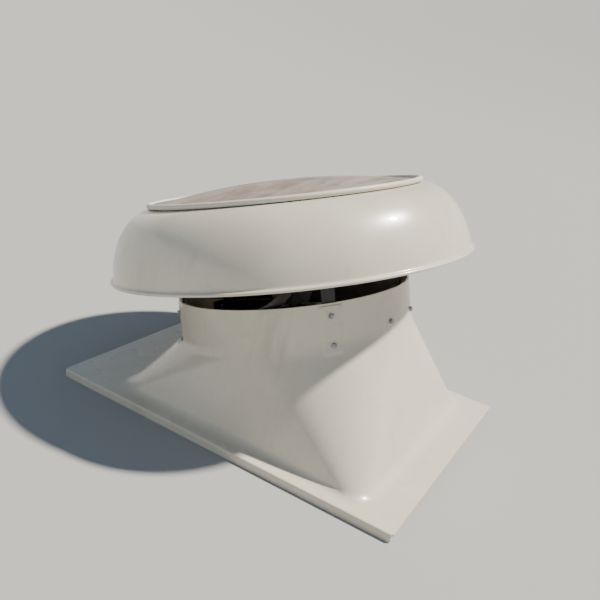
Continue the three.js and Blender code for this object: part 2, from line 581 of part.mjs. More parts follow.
// ---- Motor -----------------------------------------------------------------------------------------
const DRIVE_BEARING_BOTTOM = HOUSING_TOP + BEARING_SEAT.drive;
const DRIVE_BEARING_TOP = DRIVE_BEARING_BOTTOM + BEARING_WIDTH;
const REAR_BEARING_TOP = REAR_TOP - BEARING_SEAT.rear;
const REAR_BEARING_BOTTOM = REAR_BEARING_TOP - BEARING_WIDTH;
const driveEnd = toSolid( turned( [
	[ SHAFT_HOLE, MOTOR_TOP ],
	[ SHAFT_HOLE, DRIVE_BEARING_TOP + GAP ],
	[ BEARING_RADIUS + GAP, DRIVE_BEARING_TOP + GAP ],
	[ BEARING_RADIUS + GAP, HOUSING_TOP + GAP ],
	[ BELL_RADIUS, HOUSING_TOP + GAP ],
	[ BELL_RADIUS, MOTOR_TOP - MOTOR_FLANGE_THICKNESS ],
	[ MOTOR_FLANGE_RADIUS, MOTOR_TOP - MOTOR_FLANGE_THICKNESS ],
	[ MOTOR_FLANGE_RADIUS, MOTOR_TOP ]
], MOTOR_ROUND ) );
const flangeHole = () =>
	rod( M8.shank + HOLE_CLEARANCE, MOTOR_TOP - 2 * MOTOR_FLANGE_THICKNESS, MOTOR_TOP + 1, 8 );
const flangeHoles = MOTOR_BOLT_ANGLES_DEG.map(
	( angle ) => aroundAxis( flangeHole(), angle, MOTOR_BOLT_CIRCLE_RADIUS ) );
add( 'motor_drive_end', toGeometry( cut( driveEnd, ...flangeHoles ) ), MATERIALS.motorPaint );

function finnedOutline() {

	const shape = new THREE.Shape();
	const pitch = 2 * Math.PI / FIN_COUNT;
	for ( let i = 0; i < FIN_COUNT; i ++ ) {

		const start = i * pitch;
		for ( const [ share, radius ] of [ [ 0, 0 ], [ 0.02, FIN_HEIGHT ], [ 0.3, FIN_HEIGHT ], [ 0.32, 0 ] ] ) {

			const [ angle, reach ] = [ start + share * pitch, BELL_RADIUS + radius ];
			const point = [ reach * Math.cos( angle ), reach * Math.sin( angle ) ];
			if ( i + share === 0 ) shape.moveTo( ...point );
			else shape.lineTo( ...point );

		}

	}
	shape.closePath();
	shape.holes.push( new THREE.Path().absarc( 0, 0, HOUSING_BORE_RADIUS, 0, 2 * Math.PI, true ) );
	return new THREE.ExtrudeGeometry( shape, { depth: HOUSING_LENGTH, bevelEnabled: false, curveSegments: 14 } );

}

// The fins stop short of the flat seat under the terminal box.
const BOX_SEAT = BELL_RADIUS - 1;
const BOX_MIDDLE = CORE_MIDDLE - TERMINAL_BOX.belowCore;
const around = ( middle, size, by = 0 ) => [ middle - size / 2 - by, middle + size / 2 + by ];
const boxSeatCut = box(
	around( 0, TERMINAL_BOX.length, TERMINAL_BOX.seatMargin ),
	[ BOX_SEAT, 2 * BOX_SEAT ],
	around( BOX_MIDDLE, TERMINAL_BOX.height, TERMINAL_BOX.seatMargin ) );
const housing = cut( toSolid( finnedOutline().translate( 0, 0, HOUSING_BOTTOM ) ), boxSeatCut );
add( 'motor_housing', toGeometry( housing ), MATERIALS.motorPaint );

add( 'motor_rear_end', turned( [
	[ SHAFT_HOLE, REAR_BOTTOM ],
	[ BELL_RADIUS, REAR_BOTTOM ],
	[ BELL_RADIUS, REAR_TOP ],
	[ BEARING_RADIUS + GAP, REAR_TOP ],
	[ BEARING_RADIUS + GAP, REAR_BEARING_BOTTOM - GAP ],
	[ SHAFT_HOLE, REAR_BEARING_BOTTOM - GAP ]
], MOTOR_ROUND ), MATERIALS.motorPaint );
add( 'motor_stator', ring(
	STATOR_BORE_RADIUS, HOUSING_BORE_RADIUS * FINE_FACET - GAP, CORE.bottom, CORE.top
), MATERIALS.copper );
const bearing = ( bottom, top ) => ring( SHAFT_HOLE, BEARING_RADIUS, bottom, top );
add( 'bearing_drive_end', bearing( DRIVE_BEARING_BOTTOM, DRIVE_BEARING_TOP ), MATERIALS.steel );
add( 'bearing_rear_end', bearing( REAR_BEARING_BOTTOM, REAR_BEARING_TOP ), MATERIALS.steel );

const cowl = toSolid( turned( [
	[ 0, COWL_BOTTOM ],
	[ COWL_RADIUS - COWL_CHAMFER, COWL_BOTTOM ],
	[ COWL_RADIUS, COWL_BOTTOM + COWL_CHAMFER ],
	[ COWL_RADIUS, COWL_TOP ],
	[ COWL_RADIUS - COWL_WALL, COWL_TOP ],
	[ COWL_RADIUS - COWL_WALL, COWL_BOTTOM + COWL_CHAMFER + COWL_WALL / 2 ],
	[ COWL_RADIUS - COWL_WALL - COWL_CHAMFER, COWL_BOTTOM + COWL_WALL ],
	[ 0, COWL_BOTTOM + COWL_WALL ]
], MOTOR_ROUND ) );
const cowlHoles = Array.from( { length: COWL_HOLE_COUNT }, ( _, i ) => {

	const hole = rod( COWL_HOLE_RADIUS, COWL_BOTTOM - 1, COWL_BOTTOM + COWL_WALL + 1, 8 );
	return aroundAxis( hole, 360 * i / COWL_HOLE_COUNT, COWL_RADIUS / 2 );

} );
add( 'motor_fan_cowl', toGeometry( cut( cowl, ...cowlHoles ) ), MATERIALS.motorPaint );

MOTOR_BOLT_ANGLES_DEG.forEach( ( angle, i ) => {

	const grip = PLATE_TOP - MOTOR_TOP + MOTOR_FLANGE_THICKNESS + 2 * GAP;
	const bolt = fastener( { ...M8, washer: MOTOR_WASHER, tail: 0 }, grip ).rotateX( Math.PI )
		.translate( 0, 0, MOTOR_TOP - MOTOR_FLANGE_THICKNESS - GAP );
	add( `motor_bolt_${ i + 1 }`, aroundAxis( bolt, angle, MOTOR_BOLT_CIRCLE_RADIUS ), MATERIALS.zinc );

} );

// Terminal box on the motor's +Y side, with its lid outside and its gland towards -X.
const boxX = around( 0, TERMINAL_BOX.length );
const boxZ = around( BOX_MIDDLE, TERMINAL_BOX.height );
const boxY = [ BOX_SEAT + GAP, BOX_SEAT + GAP + TERMINAL_BOX.depth ];
const GLAND_Y = ( boxY[ 0 ] + boxY[ 1 ] ) / 2;
const glandHole = rod( GLAND.thread + HOLE_CLEARANCE, - GLAND.bodyLength, GLAND.bodyLength, 12 )
	.rotateY( Math.PI / 2 ).translate( boxX[ 0 ], GLAND_Y, BOX_MIDDLE );
const boxHollow = box(
	around( 0, TERMINAL_BOX.length, - TERMINAL_BOX.wall ),
	[ boxY[ 0 ] + TERMINAL_BOX.wall, boxY[ 1 ] + 1 ],
	around( BOX_MIDDLE, TERMINAL_BOX.height, - TERMINAL_BOX.wall ) );
const boxBody = cut( toSolid( box( boxX, boxY, boxZ ) ), boxHollow, glandHole );
add( 'terminal_box', toGeometry( boxBody ), MATERIALS.motorPaint );
const lidInner = boxY[ 1 ] + GAP;
add( 'terminal_lid', box( boxX, [ lidInner, lidInner + TERMINAL_BOX.lid ], boxZ ), MATERIALS.motorPaint );

// A cable gland along +Z, bored for the lead: the wall's outer face is at 0, the nut inside, the cap outside.
function gland( wallThickness ) {

	const inside = - wallThickness - GAP - GLAND.nutLength;
	return toGeometry( cut( join(
		rod( GLAND.thread, inside, 1, 16 ),
		rod( GLAND.nut, inside, - wallThickness - GAP, 6 ),
		rod( GLAND.nut, GAP, GAP + GLAND.hexLength, 6 ),
		rod( GLAND.body, GAP + GLAND.hexLength - 1, GAP + GLAND.bodyLength, 16 )
	), rod( LEAD_RADIUS + GLAND.clearance, inside - 1, GAP + GLAND.bodyLength + 1, 12 ) ) );

}

const boxGland = gland( TERMINAL_BOX.wall ).rotateY( - Math.PI / 2 );
boxGland.translate( boxX[ 0 ], GLAND_Y, BOX_MIDDLE );
add( 'motor_gland', boxGland, MATERIALS.blackPlastic );
const wallGland = outward( gland( WALL + 1 ), WALL_GLAND_DEG, BARREL_RADIUS, WALL_GLAND_HEIGHT );
add( 'wall_gland', wallGland, MATERIALS.blackPlastic );

// ---- Turning parts ---------------------------------------------------------------------------------
const tappedHole = rod( M10.shank + HOLE_CLEARANCE, SHAFT_TOP - HUB_BOLT_LENGTH - 6, SHAFT_TOP + 1, 12 );
const shaft = cut( toSolid( rod( SHAFT_RADIUS, COWL_BOTTOM + COOLING_FAN.end, SHAFT_TOP ) ), tappedHole );
add( 'motor_shaft', toGeometry( shaft ), MATERIALS.steel );
const rotorRadius = STATOR_BORE_RADIUS * FINE_FACET - AIR_GAP;
add( 'motor_rotor', ring( SHAFT_BORE, rotorRadius, CORE.bottom, CORE.top ), MATERIALS.castAluminium );

function coolingFan() {

	const [ bottom, top ] = [ COWL_BOTTOM + COOLING_FAN.end, COWL_TOP - COOLING_FAN.end / 2 ];
	const radius = COWL_RADIUS - COWL_WALL - COOLING_FAN.clearance;
	const boss = SHAFT_RADIUS + COOLING_FAN.boss;
	const discBottom = top - COOLING_FAN.disc;
	const vanes = Array.from( { length: COOLING_FAN.vanes }, ( _, i ) => box(
		[ boss - 3, radius ], around( 0, COOLING_FAN.vaneWidth ), [ bottom, discBottom + 1 ]
	).rotateZ( 2 * Math.PI * i / COOLING_FAN.vanes ) );
	const body = join( rod( boss, bottom, top ), rod( radius, discBottom, top ), ...vanes );
	return cut( body, rod( SHAFT_BORE, bottom - 1, top + 1 ) );

}

add( 'motor_cooling_fan', toGeometry( coolingFan() ), MATERIALS.blackPlastic );

const HUB_BOSS = SHAFT_RADIUS + HUB_BOSS_WALL;
const hub = toSolid( turned( [
	[ SHAFT_BORE, HUB_BOTTOM ],
	[ HUB_BOSS, HUB_BOTTOM ],
	[ HUB_BOSS, HUB_TOP - HUB_FACE ],
	[ HUB_RADIUS - HUB_WALL, HUB_TOP - HUB_FACE ],
	[ HUB_RADIUS - HUB_WALL, HUB_BOTTOM ],
	[ HUB_RADIUS, HUB_BOTTOM ],
	[ HUB_RADIUS, HUB_TOP - HUB_CHAMFER ],
	[ HUB_RADIUS - HUB_CHAMFER, HUB_TOP ],
	[ SHAFT_BORE, HUB_TOP ]
], MOTOR_ROUND ) );
add( 'impeller_hub', toGeometry( hub ), MATERIALS.castAluminium );

// One blade: cambered plate sections, wrapped about the axis, that widen and flatten towards the tip. The
// leading edge is the low one, so that the air is driven up the barrel.
function blade() {

	const sections = 7;
	const across = 6;
	const rootFacet = BLADE_ROOT.chord * Math.cos( ROOT_PITCH ) / HUB_RADIUS / across;
	const rootRadius = ( HUB_RADIUS + GAP ) / Math.cos( rootFacet / 2 );
	const rings = [];
	for ( let i = 0; i < sections; i ++ ) {

		const share = i / ( sections - 1 );
		const radius = THREE.MathUtils.lerp( rootRadius, BLADE_TIP_RADIUS, share );
		const chord = THREE.MathUtils.lerp( BLADE_ROOT.chord, BLADE_TIP.chord, share );
		const pitchDeg = THREE.MathUtils.lerp( BLADE_ROOT.pitchDeg, BLADE_TIP.pitchDeg, share );
		const pitch = THREE.MathUtils.degToRad( pitchDeg );
		const ringPoints = [];
		const addPoint = ( along, side ) => {

			const fromMiddle = 2 * along - 1;
			const taper = 1 - ( 1 - BLADE_EDGE_SHARE ) * fromMiddle ** 4;
			const rise = BLADE_CAMBER * ( 0.5 - fromMiddle ** 2 ) + side * taper * BLADE_THICKNESS / 2;
			const chordwise = ( along - 0.5 ) * chord;
			const sweep = chordwise * Math.cos( pitch ) - rise * Math.sin( pitch );
			const height = chordwise * Math.sin( pitch ) + rise * Math.cos( pitch );
			const angle = sweep / radius;
			ringPoints.push( new THREE.Vector3( radius * Math.cos( angle ), radius * Math.sin( angle ), height ) );

		};
		for ( let j = 0; j <= across; j ++ ) addPoint( j / across, 1 );
		for ( let j = across; j >= 0; j -- ) addPoint( j / across, - 1 );
		rings.push( ringPoints );

	}
	const corners = [];
	const triangle = ( ...points ) => points.forEach( ( point ) => corners.push( point.x, point.y, point.z ) );
	const quad = ( a, b, c, d ) => {

		triangle( a, b, c );
		triangle( a, c, d );

	};
	const count = rings[ 0 ].length;
	for ( let i = 0; i + 1 < sections; i ++ ) {

		for ( let j = 0; j < count; j ++ ) {

			const k = ( j + 1 ) % count;
			quad( rings[ i ][ j ], rings[ i ][ k ], rings[ i + 1 ][ k ], rings[ i + 1 ][ j ] );

		}

	}
	for ( let j = 0; j < across; j ++ ) {

		const [ root, tip, last ] = [ rings[ 0 ], rings[ sections - 1 ], count - 1 ];
		quad( root[ j ], root[ last - j ], root[ last - j - 1 ], root[ j + 1 ] );
		quad( tip[ j + 1 ], tip[ last - j - 1 ], tip[ last - j ], tip[ j ] );

	}
	const geometry = new THREE.BufferGeometry();
	geometry.setAttribute( 'position', new THREE.Float32BufferAttribute( corners, 3 ) );
	return toSolid( geometry );

}

for ( let i = 0; i < BLADE_COUNT; i ++ ) {

	const mesh = add( `impeller_blade_${ i + 1 }`, toGeometry( blade() ), MATERIALS.blackSteel );
	mesh.position.z = HUB_MIDDLE;
	mesh.rotation.z = THREE.MathUtils.degToRad( BLADE_START_DEG + 360 * i / BLADE_COUNT );

}

add( 'hub_bolt', fastener( M10, HUB_BOLT_LENGTH, false ).translate( 0, 0, HUB_TOP + GAP ), MATERIALS.zinc );

// ---- Motor lead ------------------------------------------------------------------------------------
// From the terminal box's gland, up to two clips on the outside of the rail's upright leg, to the wall gland.
const CLIP_Y = RAIL_HALF_SPACING + RAIL_THICKNESS + LEAD_RADIUS + CLIP.standoff;
const CLIP_LEAD_HEIGHT = CLIP_HEIGHT - CLIP.leadBelow;
const glandEnd = boxX[ 0 ] - GAP - GLAND.bodyLength;
const wallAngle = THREE.MathUtils.degToRad( WALL_GLAND_DEG );
const point = ( x, y, z ) => new THREE.Vector3( x, y, z );
const atWall = ( radius, height ) =>
	point( radius * Math.cos( wallAngle ), radius * Math.sin( wallAngle ), height );
const alongRail = ( x ) => point( x, CLIP_Y, CLIP_LEAD_HEIGHT );
const leadPath = new THREE.CatmullRomCurve3( [
	point( glandEnd + 10, GLAND_Y, BOX_MIDDLE ),
	point( glandEnd, GLAND_Y, BOX_MIDDLE ),
	point( glandEnd - 18, GLAND_Y + 1, BOX_MIDDLE + 2 ),
	point( - 103, CLIP_Y - 4, BOX_MIDDLE + 24 ),
	point( - 118, CLIP_Y + 2, CLIP_HEIGHT - 26 ),
	...[ - 134, - 142, - 158, - 190, - 215, - 227, - 243, - 251 ].map( alongRail ),
	atWall( BARREL_BORE_RADIUS - 52, WALL_GLAND_HEIGHT - 1 ),
	atWall( BARREL_BORE_RADIUS - 22, WALL_GLAND_HEIGHT ),
	atWall( BARREL_RADIUS - 4, WALL_GLAND_HEIGHT )
], false, 'centripetal' );
const leadSection = new THREE.Shape().absarc( 0, 0, LEAD_RADIUS, 0, 2 * Math.PI, false );
const lead = new THREE.ExtrudeGeometry( leadSection, { steps: 60, curveSegments: 4, extrudePath: leadPath } );
add( 'motor_lead', lead, MATERIALS.rubber );

// Clips: a P-shaped strap about the lead with its tail screwed to the rail's leg.
CLIP_POSITIONS.forEach( ( x, i ) => {

	const width = around( x, CLIP.width );
	const bore = LEAD_RADIUS + GAP;
	const lying = ( piece ) => piece.rotateY( Math.PI / 2 ).translate( x, CLIP_Y, CLIP_LEAD_HEIGHT );
	const loop = lying( ring( bore, bore + CLIP.strap, - CLIP.width / 2, CLIP.width / 2, 16 ) );
	const tailInner = RAIL_HALF_SPACING + RAIL_THICKNESS + GAP;
	const tail = box( width, [ tailInner, tailInner + 1 ], [ CLIP_LEAD_HEIGHT, CLIP_HEIGHT + CLIP.tailAbove ] );
	const screw = rod( M4.shank, - M4.length, M4.head, 10 ).rotateX( - Math.PI / 2 )
		.translate( x, RAIL_HALF_SPACING + RAIL_THICKNESS, CLIP_HEIGHT + CLIP.screwAbove );
	const strap = join( loop, tail ).subtract( toSolid( lying( rod( bore, - CLIP.width, CLIP.width, 16 ) ) ) );
	add( `lead_clip_${ i + 1 }`, toGeometry( strap.add( toSolid( screw ) ) ), MATERIALS.zinc );

} );

export default ventilator;
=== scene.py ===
import json
import math

import bmesh
import bpy
from mathutils import Matrix, Vector


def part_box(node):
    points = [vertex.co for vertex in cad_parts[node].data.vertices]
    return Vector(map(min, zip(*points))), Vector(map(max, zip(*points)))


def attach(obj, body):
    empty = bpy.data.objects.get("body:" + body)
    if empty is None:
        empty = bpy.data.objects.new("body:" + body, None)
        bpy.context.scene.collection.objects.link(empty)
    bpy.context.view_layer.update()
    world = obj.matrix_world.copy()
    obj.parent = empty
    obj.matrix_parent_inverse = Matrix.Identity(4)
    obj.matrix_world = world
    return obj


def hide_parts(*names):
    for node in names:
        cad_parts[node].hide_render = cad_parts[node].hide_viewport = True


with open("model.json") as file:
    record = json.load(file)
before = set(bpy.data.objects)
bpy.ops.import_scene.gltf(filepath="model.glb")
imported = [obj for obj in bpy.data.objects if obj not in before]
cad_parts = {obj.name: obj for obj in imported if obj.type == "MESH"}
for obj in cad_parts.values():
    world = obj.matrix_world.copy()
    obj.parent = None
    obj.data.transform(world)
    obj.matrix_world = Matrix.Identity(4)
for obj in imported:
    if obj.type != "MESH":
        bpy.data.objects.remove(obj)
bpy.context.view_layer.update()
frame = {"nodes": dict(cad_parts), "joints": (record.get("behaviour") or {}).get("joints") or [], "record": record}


# ---- View ----------------------------------------------------------------------------------------
# The camera stands off the base's lower right-hand corner, a little above the cap's lip, and is held
# rolled to its left, because the fan leans as it does on a sloping roof.
AZIMUTH, ELEVATION, ROLL = (math.radians(angle) for angle in (27.276, 20.398, 11.109))
STAND_OFF = 2.3202
aim = Vector((-0.0717, -0.0677, 0.3266))
camera_data = bpy.data.cameras.new("camera")
camera_data.lens = 43.389
camera_data.sensor_width = 36
camera_data.shift_x = 0.05
camera_data.clip_end = 60
camera = bpy.data.objects.new("camera", camera_data)
turn = Matrix.Rotation(AZIMUTH, 4, "Z") @ Matrix.Rotation(math.pi / 2 - ELEVATION, 4, "X")
camera.matrix_world = (Matrix.Translation(aim) @ turn @ Matrix.Translation((0, 0, STAND_OFF))
                       @ Matrix.Rotation(ROLL, 4, "Z"))
bpy.context.scene.collection.objects.link(camera)
bpy.context.scene.camera = camera


# ---- Floor and light -----------------------------------------------------------------------------
# A plain pale floor that rises into a shallow bowl far off. A warm sun stands high, behind and
# downhill, so that the near faces and all under the cap are left to a cool sky and the floor.
FLOOR_RADIUS = 8
FLOOR_BEND = 30                       # radius of the curve from the level floor to its slope
FLOOR_SLOPE = math.radians(22)
SLOPE_REACH = 20
BEND_STEPS = 16
floor_mesh = bpy.data.meshes.new("floor")
floor_bm = bmesh.new()
edge = [floor_bm.verts.new((0, 0, 0)), floor_bm.verts.new((FLOOR_RADIUS, 0, 0))]
for step in range(1, BEND_STEPS + 1):
    bend = FLOOR_SLOPE * step / BEND_STEPS
    edge.append(floor_bm.verts.new((
        FLOOR_RADIUS + FLOOR_BEND * math.sin(bend), 0, FLOOR_BEND * (1 - math.cos(bend)))))
edge.append(floor_bm.verts.new(
    edge[-1].co + Vector((SLOPE_REACH, 0, SLOPE_REACH * math.tan(FLOOR_SLOPE)))))
edges = [floor_bm.edges.new(pair) for pair in zip(edge, edge[1:])]
bmesh.ops.spin(floor_bm, geom=edge + edges, cent=(0, 0, 0), axis=(0, 0, 1), angle=2 * math.pi,
               steps=96, use_merge=True)
bmesh.ops.remove_doubles(floor_bm, verts=floor_bm.verts, dist=1e-5)
bmesh.ops.recalc_face_normals(floor_bm, faces=floor_bm.faces)
floor_bm.to_mesh(floor_mesh)
floor_bm.free()
floor_mesh.shade_smooth()
floor = bpy.data.objects.new("floor", floor_mesh)
bpy.context.scene.collection.objects.link(floor)
floor_paint = bpy.data.materials.new("floor_paint")
floor_paint.use_nodes = True
floor_paint.node_tree.nodes["Principled BSDF"].inputs["Base Color"].default_value = (0.38, 0.38, 0.375, 1)
floor_paint.node_tree.nodes["Principled BSDF"].inputs["Roughness"].default_value = 0.9
floor_mesh.materials.append(floor_paint)

world = bpy.data.worlds.new("sky")
world.use_nodes = True
world.node_tree.nodes["Background"].inputs["Color"].default_value = (0.50, 0.72, 1.0, 1)
world.node_tree.nodes["Background"].inputs["Strength"].default_value = 0.36
bpy.context.scene.world = world


SUN_TOWARDS = Vector((0.42, 0.36, 0.83))
FILL_TOWARDS = Vector((0.5, -1.0, 0.5)).normalized()
FILL_DISTANCE = 6
FAN_MIDDLE = Vector((0, 0, 0.4))
sun_data = bpy.data.lights.new("sun", "SUN")
sun_data.energy = 8.2
sun_data.angle = math.radians(3)
sun_data.color = (1.0, 0.93, 0.81)
sun = bpy.data.objects.new("sun", sun_data)
sun.rotation_euler = SUN_TOWARDS.to_track_quat("Z", "Y").to_euler()
bpy.context.scene.collection.objects.link(sun)

fill_data = bpy.data.lights.new("front_fill", "AREA")
fill_data.shape = "DISK"
fill_data.size = 3.5
fill_data.energy = 10
fill_data.color = (0.80, 0.90, 1.0)
fill = bpy.data.objects.new("front_fill", fill_data)
fill.location = FAN_MIDDLE + FILL_TOWARDS * FILL_DISTANCE
fill.rotation_euler = FILL_TOWARDS.to_track_quat("Z", "Y").to_euler()
bpy.context.scene.collection.objects.link(fill)


# ---- Base moulding -------------------------------------------------------------------------------
# One glass-fibre moulding: a flat flange with its long edges turned down, a hopper that runs from a
# round-cornered square to a circle, and a short barrel with a raised pad under each pair of bolts.
spin_joint = frame["joints"][0]
axis = Vector(spin_joint["axis"])
lean = Matrix((
    (axis.z, 0, axis.x, spin_joint["pos_m"][0]),
    (0, 1, 0, 0),
    (-axis.x, 0, axis.z, 0),
    (0, 0, 0, 1)))
to_barrel = lean.inverted()


def barrel_points(node):
    """A CAD piece's corners, with the barrel's axis as Z."""
    return [to_barrel @ vertex.co for vertex in frame["nodes"][node].data.vertices]


def soft_step(value, start, end):
    """0 before start, 1 after end, and an even curve between them."""
    share = min(max((value - start) / (end - start), 0), 1)
    return share * share * (3 - 2 * share)


SHARP_ANGLE = math.radians(38)


def add_piece(bm, name, body, slot, material, *nodes):
    """Makes the mesh a piece that rides on a body and stands for CAD nodes."""
    mesh = bpy.data.meshes.new(name)
    bm.to_mesh(mesh)
    bm.free()
    mesh.materials.append(material)
    mesh.shade_smooth()
    mesh.set_sharp_from_angle(angle=SHARP_ANGLE)
    piece = bpy.data.objects.new(name, mesh)
    bpy.context.scene.collection.objects.link(piece)
    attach(piece, body)
    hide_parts(*nodes)
    return piece


class Socket:
    """A socket of a material's nodes. Sums on it add Math nodes."""

    def __init__(self, tree, link):
        self.tree = tree
        self.link = link

    def node(self, kind, values, out=0, **settings):
        """Any other node: its type, its settings and what its sockets hold, by name or number."""
        node = self.tree.nodes.new("ShaderNode" + kind)
        for name, setting in settings.items():
            setattr(node, name, setting)
        for key, value in values.items():
            if isinstance(value, Socket):
                self.tree.links.new(value.link, node.inputs[key])
            else:
                node.inputs[key].default_value = value
        return Socket(self.tree, node.outputs[out])

    def sum(self, operation, first, second):
        return self.node("Math", {0: first, 1: second}, operation=operation)

    def __add__(self, other):
        return self.sum("ADD", self, other)

    def __radd__(self, other):
        return self.sum("ADD", other, self)

    def __sub__(self, other):
        return self.sum("SUBTRACT", self, other)

    def __rsub__(self, other):
        return self.sum("SUBTRACT", other, self)

    def __mul__(self, other):
        return self.sum("MULTIPLY", self, other)

    def __rmul__(self, other):
        return self.sum("MULTIPLY", other, self)

    def noise(self, scale, detail=3, roughness=0.5, stretch=(1, 1, 1)):
        """Cloudy noise on these coordinates, from 0 to 1, drawn out along an axis by stretch."""
        place = self.node("Mapping", {"Vector": self, "Scale": stretch})
        values = {"Vector": place, "Scale": scale, "Detail": detail, "Roughness": roughness}
        return self.node("TexNoise", values)

    def between(self, low, high):
        """0 where this is below low, 1 where it is above high."""
        values = {0: self, 1: low, 2: high, 3: 0, 4: 1}
        return self.node("MapRange", values, interpolation_type="SMOOTHSTEP")

    def mix(self, first, second):
        """Two colours, or a colour and a socket, mixed by this mask."""
        return self.node("Mix", {0: self, 6: first, 7: second}, out=2, data_type="RGBA")

    def bump(self, strength, distance, under=None):
        values = {"Height": self, "Strength": strength, "Distance": distance}
        if under:
            values["Normal"] = under
        return self.node("Bump", values)


def start_finish(name, **constants):
    """A new material: itself, its shader and its object coordinates."""
    material = bpy.data.materials.new(name)
    material.use_nodes = True
    tree = material.node_tree
    shader = tree.nodes["Principled BSDF"]
    for key, value in constants.items():
        shader.inputs[key.replace("_", " ")].default_value = value
    place = Socket(tree, tree.nodes.new("ShaderNodeTexCoord").outputs["Object"])
    return material, shader, place


def drive(shader, sockets):
    """Links what changes over the surface into the shader."""
    for key, socket in sockets.items():
        socket.tree.links.new(socket.link, shader.inputs[key])


def gelcoat_finish(name, clean, aged, soiled, grime):
    """Glossy gelcoat: slightly uneven as it came from the mould, yellowed in places, with dull grime."""
    material, shader, place = start_finish(name, Coat_Roughness=0.08, Specular_IOR_Level=0.5)
    cloud = place.noise(2.6, 4).between(0.35, 0.7)
    speckle = place.noise(55, 3).between(0.5, 0.78)
    runs = place.noise(16, 4, 0.6, (1, 1, 0.12)).between(0.52, 0.8)
    dirt = (runs * grime + speckle * (grime * 0.35)) * place.noise(3.5, 2).between(0.3, 0.7)
    colour = dirt.mix(cloud.mix(clean, aged), soiled)
    chalk = place.noise(7, 4).between(0.3, 0.75)
    skin = place.noise(3.2, 1).bump(0.35, 0.02)
    peel = place.noise(260, 2).bump(0.05, 0.0006, skin)
    drive(shader, {
        "Base Color": colour,
        "Roughness": 0.24 + chalk * 0.12 + dirt * 0.35,
        "Coat Weight": 0.45 - dirt * 0.4,
        "Normal": peel,
    })
    return material


gelcoat = gelcoat_finish(
    "gelcoat", (0.68, 0.635, 0.535, 1), (0.62, 0.565, 0.455, 1), (0.30, 0.27, 0.22, 1), 0.34)

SHELL = 0.006
TRIM = 0.0014                     # the laid-up edges are sanded round by this much
PAD_HALF_WIDTH = 0.034
PAD_EDGE = 0.0012
PAD_RISE = 0.003
PAD_BELOW_RIM = 0.006
PAD_BELOW_BOLTS = 0.022
PAD_FADE = 0.004                  # half the height over which a pad's foot rises
BARREL_BELOW_BOLTS = 0.012
RIM_LEVELS = (0, 0.002, 0.0045, 0.0055, 0.0065, 0.008)    # depths below the rim, close at the pads' tops
FOOT_HALF = 0.42
FOOT_CORNER = 0.055
FOOT_FORWARD = 0.038              # the foot's centre, downhill of the flange's
FILLET = 0.030                    # reach of the hollow round the foot
SHOULDER = 0.03                   # reach of the bend under the barrel
LIP_ROUND = 0.004
FLANGE_CORNER = 0.004
APEXES = (0, 86.2, 180, 273.8, 360)   # where the hopper's flat faces meet the barrel, in degrees
EDGE_SHARE = 0.035                # of a quarter's columns, that run to the foot's straight edges

moulding_low, moulding_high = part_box("base_moulding")
rim_height = max(point.z for point in barrel_points("base_moulding"))
rim = [point for point in barrel_points("base_moulding") if point.z > rim_height - 1e-4]
barrel_radius = max(math.hypot(point.x, point.y) for point in rim)
bolt_heights = [sum(point.z for point in barrel_points(f"upright_bolt_front_{row}"))
                / len(barrel_points(f"upright_bolt_front_{row}")) for row in ("upper", "lower")]
barrel_bottom = bolt_heights[1] - BARREL_BELOW_BOLTS
pad_top, pad_bottom = rim_height - PAD_BELOW_RIM, bolt_heights[1] - PAD_BELOW_BOLTS
flange_top = frame["record"]["mounts"][2]["pos_m"][2]
flange_middle = (moulding_low.x + moulding_high.x) / 2
flange_half = ((moulding_high.x - moulding_low.x) / 2, moulding_high.y)

# Degrees from a pad's middle: columns stand close together where the pad's edge rises.
FINE_FROM, FINE_TO = 4.2, 6.4
FINE_STEP, COARSE_STEP = 0.25, 1.4
offset = 0.0
offsets = []
while offset < 45:
    offsets.append(offset)
    offset += FINE_STEP if FINE_FROM <= offset < FINE_TO else COARSE_STEP
columns = sorted({round((pad + side * offset) % 360, 3)
                  for pad in (45, 135, 225, 315) for side in (-1, 1) for offset in offsets})


def on_barrel(angle, height, radius=None):
    """A point of the barrel, in the row's frame."""
    turn = math.radians(angle)
    reach = radius or barrel_radius
    return lean @ Vector((reach * math.cos(turn), reach * math.sin(turn), height))


def on_outline(angle, middle, halves, corner):
    """Where a column meets a round-cornered rectangle on the flange, and the way out from there."""
    quarter = max(k for k in range(4) if angle >= APEXES[k])
    share = (angle - APEXES[quarter]) / (APEXES[quarter + 1] - APEXES[quarter])
    first = Matrix.Rotation(quarter * math.pi / 2, 3, "Z") @ Vector((1, 0, 0))
    second = Matrix.Rotation(quarter * math.pi / 2, 3, "Z") @ Vector((0, 1, 0))
    along, across = halves if quarter % 2 == 0 else halves[::-1]
    if share < EDGE_SHARE:
        out = first
        point = first * along + second * (across - corner) * share / EDGE_SHARE
    elif share > 1 - EDGE_SHARE:
        out = second
        point = second * across + first * (along - corner) * (1 - share) / EDGE_SHARE
    else:
        bend = math.pi / 2 * (share - EDGE_SHARE) / (1 - 2 * EDGE_SHARE)
        out = first * math.cos(bend) + second * math.sin(bend)
        point = first * (along - corner) + second * (across - corner) + out * corner
    return Vector((middle, 0, flange_top)) + point, out


def raise_pad(point, angle):
    """The pads stand proud of the barrel and fade out where the hopper begins."""
    local = to_barrel @ point
    beside = abs((angle - 45) % 90)
    beside = min(beside, 90 - beside)
    width = math.radians(beside) * barrel_radius
    share = (1 - soft_step(width, PAD_HALF_WIDTH - PAD_EDGE / 2, PAD_HALF_WIDTH + PAD_EDGE / 2))
    share *= soft_step(local.z, pad_bottom - PAD_FADE, pad_bottom + PAD_FADE)
    share *= 1 - soft_step(local.z, pad_top - 0.002, pad_top + 0.001)
    out = lean.to_3x3() @ Vector((math.cos(math.radians(angle)), math.sin(math.radians(angle)), 0))
    return point + out * PAD_RISE * share


